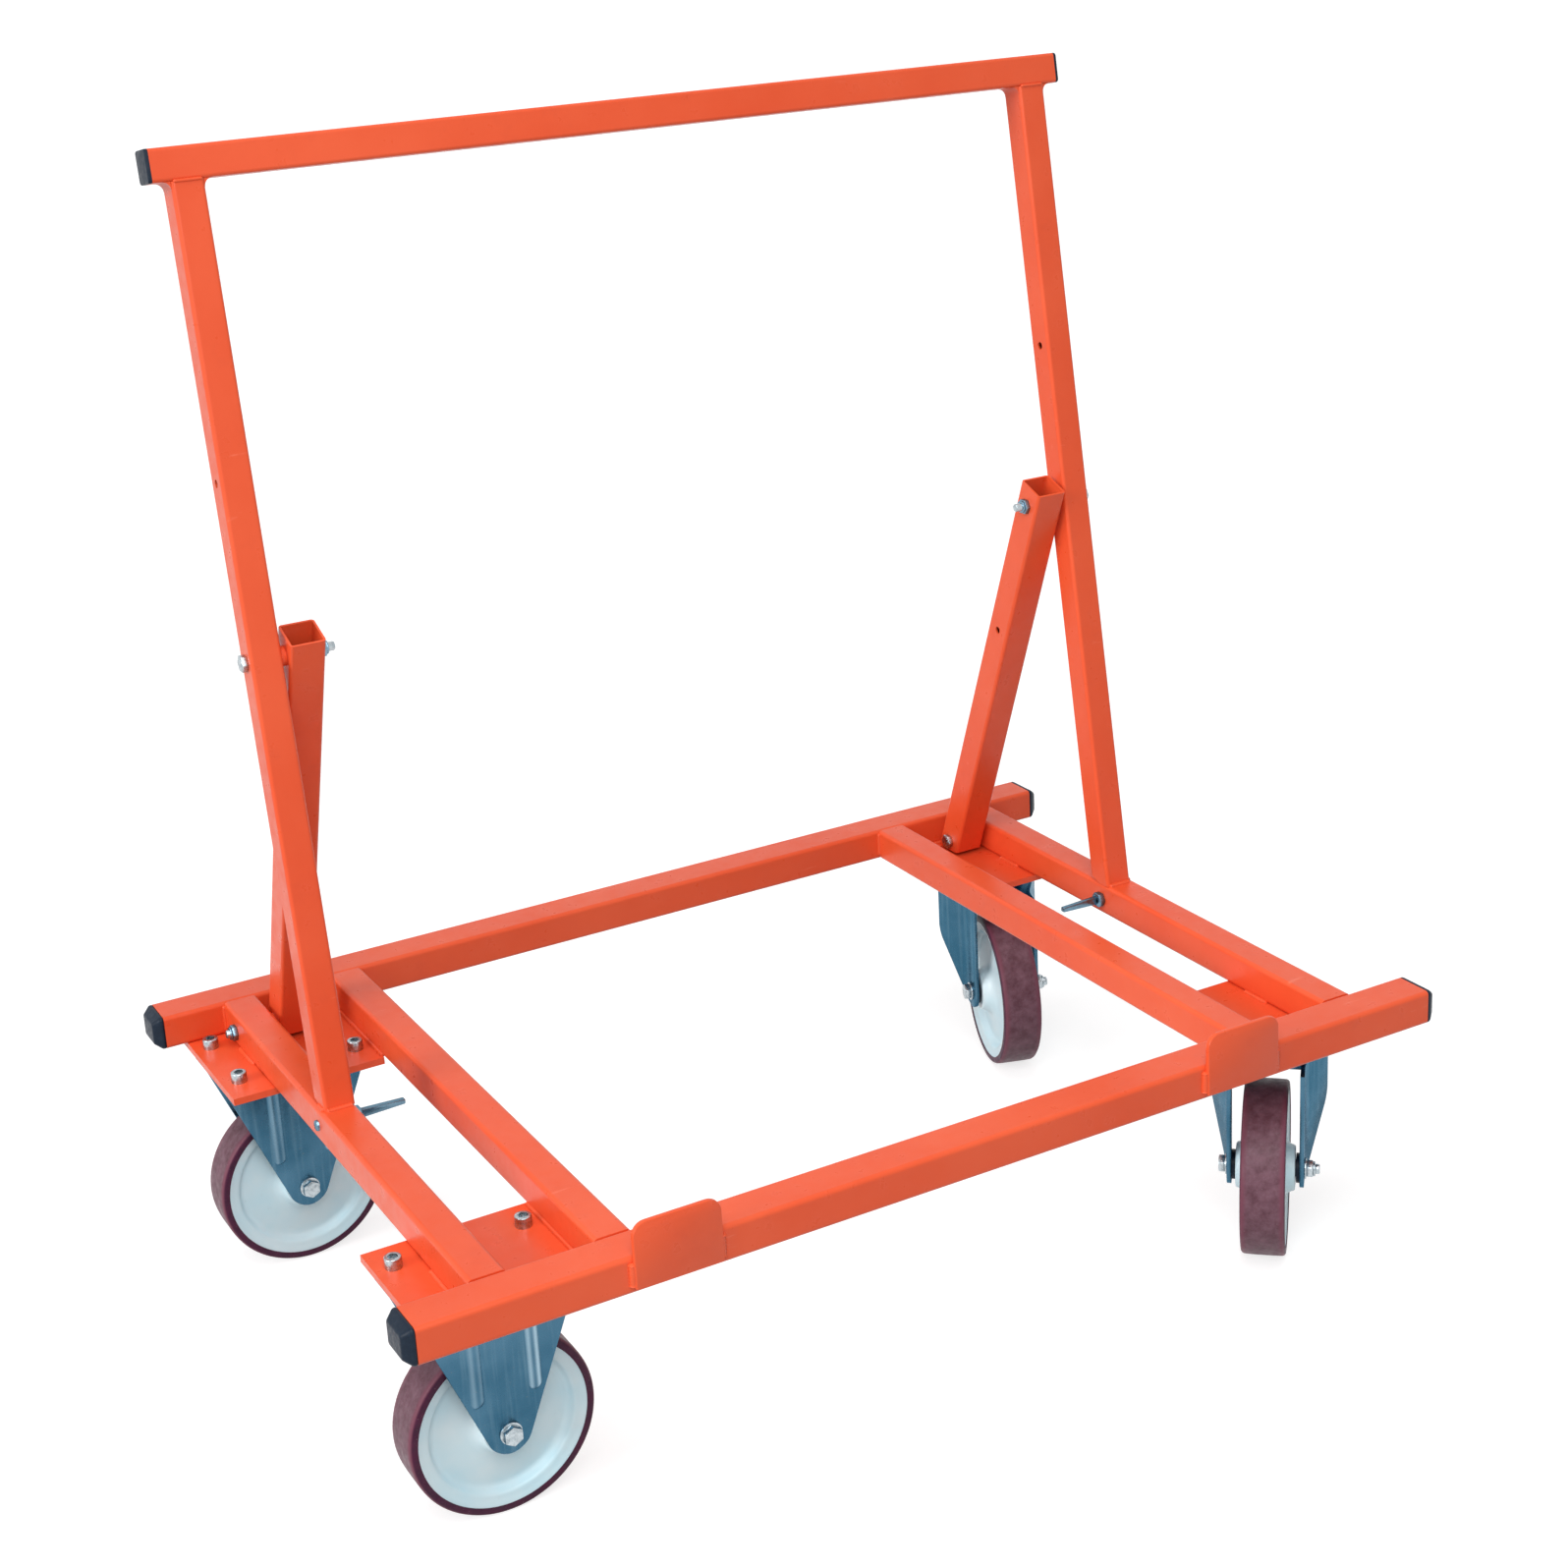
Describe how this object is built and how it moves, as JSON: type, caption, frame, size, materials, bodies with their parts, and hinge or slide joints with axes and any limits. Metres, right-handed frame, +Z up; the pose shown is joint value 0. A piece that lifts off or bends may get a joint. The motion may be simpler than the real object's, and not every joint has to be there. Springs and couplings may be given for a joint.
{
  "type": "drywall cart",
  "caption": "Low tube-frame drywall cart with a leaning back frame, sheet stops, struts with pull pins, and fixed and swivel casters, for moving plasterboard on edge.",
  "frame": {"origin": "on the floor, under the middle of the base frame", "axes": "+X along the rails from the fixed casters to the swivel casters, +Y from the sheet stops to the rear, +Z up"},
  "size_m": [1.251, 0.8509, 1.3175],
  "materials": {
    "orange_paint": "gloss powder coat",
    "black_plastic": "satin",
    "bright_zinc": "bright zinc plate",
    "blue_zinc": "blue zinc plate",
    "black_bush": "matte",
    "polyurethane": "satin",
    "white_polyamide": "satin",
    "bearing_steel": "plain"
  },
  "bodies": {
    "frame": {"front_rail": "orange_paint", "rear_rail": "orange_paint", "left_outer_crossbar": "orange_paint", "left_inner_crossbar": "orange_paint", "right_inner_crossbar": "orange_paint", "right_outer_crossbar": "orange_paint", "front_left_plate": "orange_paint", "rear_left_plate": "orange_paint", "front_right_plate": "orange_paint", "rear_right_plate": "orange_paint", "left_sheet_stop": "orange_paint", "right_sheet_stop": "orange_paint", "left_post": "orange_paint", "right_post": "orange_paint", "left_tongue": "orange_paint", "right_tongue": "orange_paint", "top_bar": "orange_paint", "left_strut": "orange_paint", "right_strut": "orange_paint", "strut_spacers": "orange_paint", "rail_caps": "black_plastic", "top_bar_caps": "black_plastic", "strut_top_bolts": "bright_zinc", "strut_base_bolts": "bright_zinc", "caster_screws": "bright_zinc", "fixed_axle_bolts": "bright_zinc", "king_pins": "bright_zinc", "swivel_balls": "bright_zinc", "strut_nuts": "blue_zinc", "caster_nuts": "blue_zinc", "front_left_fork": "blue_zinc", "rear_left_fork": "blue_zinc", "fixed_axle_nuts": "blue_zinc", "front_right_top_plate": "blue_zinc", "rear_right_top_plate": "blue_zinc", "fixed_axle_bushes": "black_bush"},
    "front_right_swivel": {"front_right_fork": "blue_zinc", "front_right_axle_bolt": "bright_zinc", "front_right_axle_nut": "blue_zinc", "front_right_bushes": "black_bush"},
    "rear_right_swivel": {"rear_right_fork": "blue_zinc", "rear_right_axle_bolt": "bright_zinc", "rear_right_axle_nut": "blue_zinc", "rear_right_bushes": "black_bush"},
    "left_pin": {"left_foot_pin": "blue_zinc"},
    "right_pin": {"right_foot_pin": "blue_zinc"},
    "front_left_roller": {"front_left_tyre": "polyurethane", "front_left_wheel": "white_polyamide", "front_left_bearing": "bearing_steel"},
    "rear_left_roller": {"rear_left_tyre": "polyurethane", "rear_left_wheel": "white_polyamide", "rear_left_bearing": "bearing_steel"},
    "front_right_roller": {"front_right_tyre": "polyurethane", "front_right_wheel": "white_polyamide", "front_right_bearing": "bearing_steel"},
    "rear_right_roller": {"rear_right_tyre": "polyurethane", "rear_right_wheel": "white_polyamide", "rear_right_bearing": "bearing_steel"}
  },
  "joints": [
    {"name": "front_left_wheel_spin", "type": "hinge", "parent": "frame", "child": "front_left_roller", "pos_m": [-0.4975, -0.293, 0.1], "axis": [0, 1, 0], "continuous": true},
    {"name": "rear_left_wheel_spin", "type": "hinge", "parent": "frame", "child": "rear_left_roller", "pos_m": [-0.4975, 0.293, 0.1], "axis": [0, 1, 0], "continuous": true},
    {"name": "front_right_caster_swivel", "type": "hinge", "parent": "frame", "child": "front_right_swivel", "pos_m": [0.488, -0.293, 0.23], "axis": [0, 0, 1], "continuous": true},
    {"name": "front_right_wheel_spin", "type": "hinge", "parent": "front_right_swivel", "child": "front_right_roller", "pos_m": [0.44451, -0.3413, 0.1], "axis": [0.7431, -0.6691, 0], "continuous": true},
    {"name": "rear_right_caster_swivel", "type": "hinge", "parent": "frame", "child": "rear_right_swivel", "pos_m": [0.488, 0.293, 0.23], "axis": [0, 0, 1], "continuous": true},
    {"name": "rear_right_wheel_spin", "type": "hinge", "parent": "rear_right_swivel", "child": "rear_right_roller", "pos_m": [0.46791, 0.23118, 0.1], "axis": [0.9511, -0.309, 0], "continuous": true},
    {"name": "left_pin_pull", "type": "slide", "parent": "frame", "child": "left_pin", "axis": [1, 0, 0], "range_m": [0, 0.03]},
    {"name": "right_pin_pull", "type": "slide", "parent": "frame", "child": "right_pin", "axis": [-1, 0, 0], "range_m": [0, 0.03]}
  ]
}
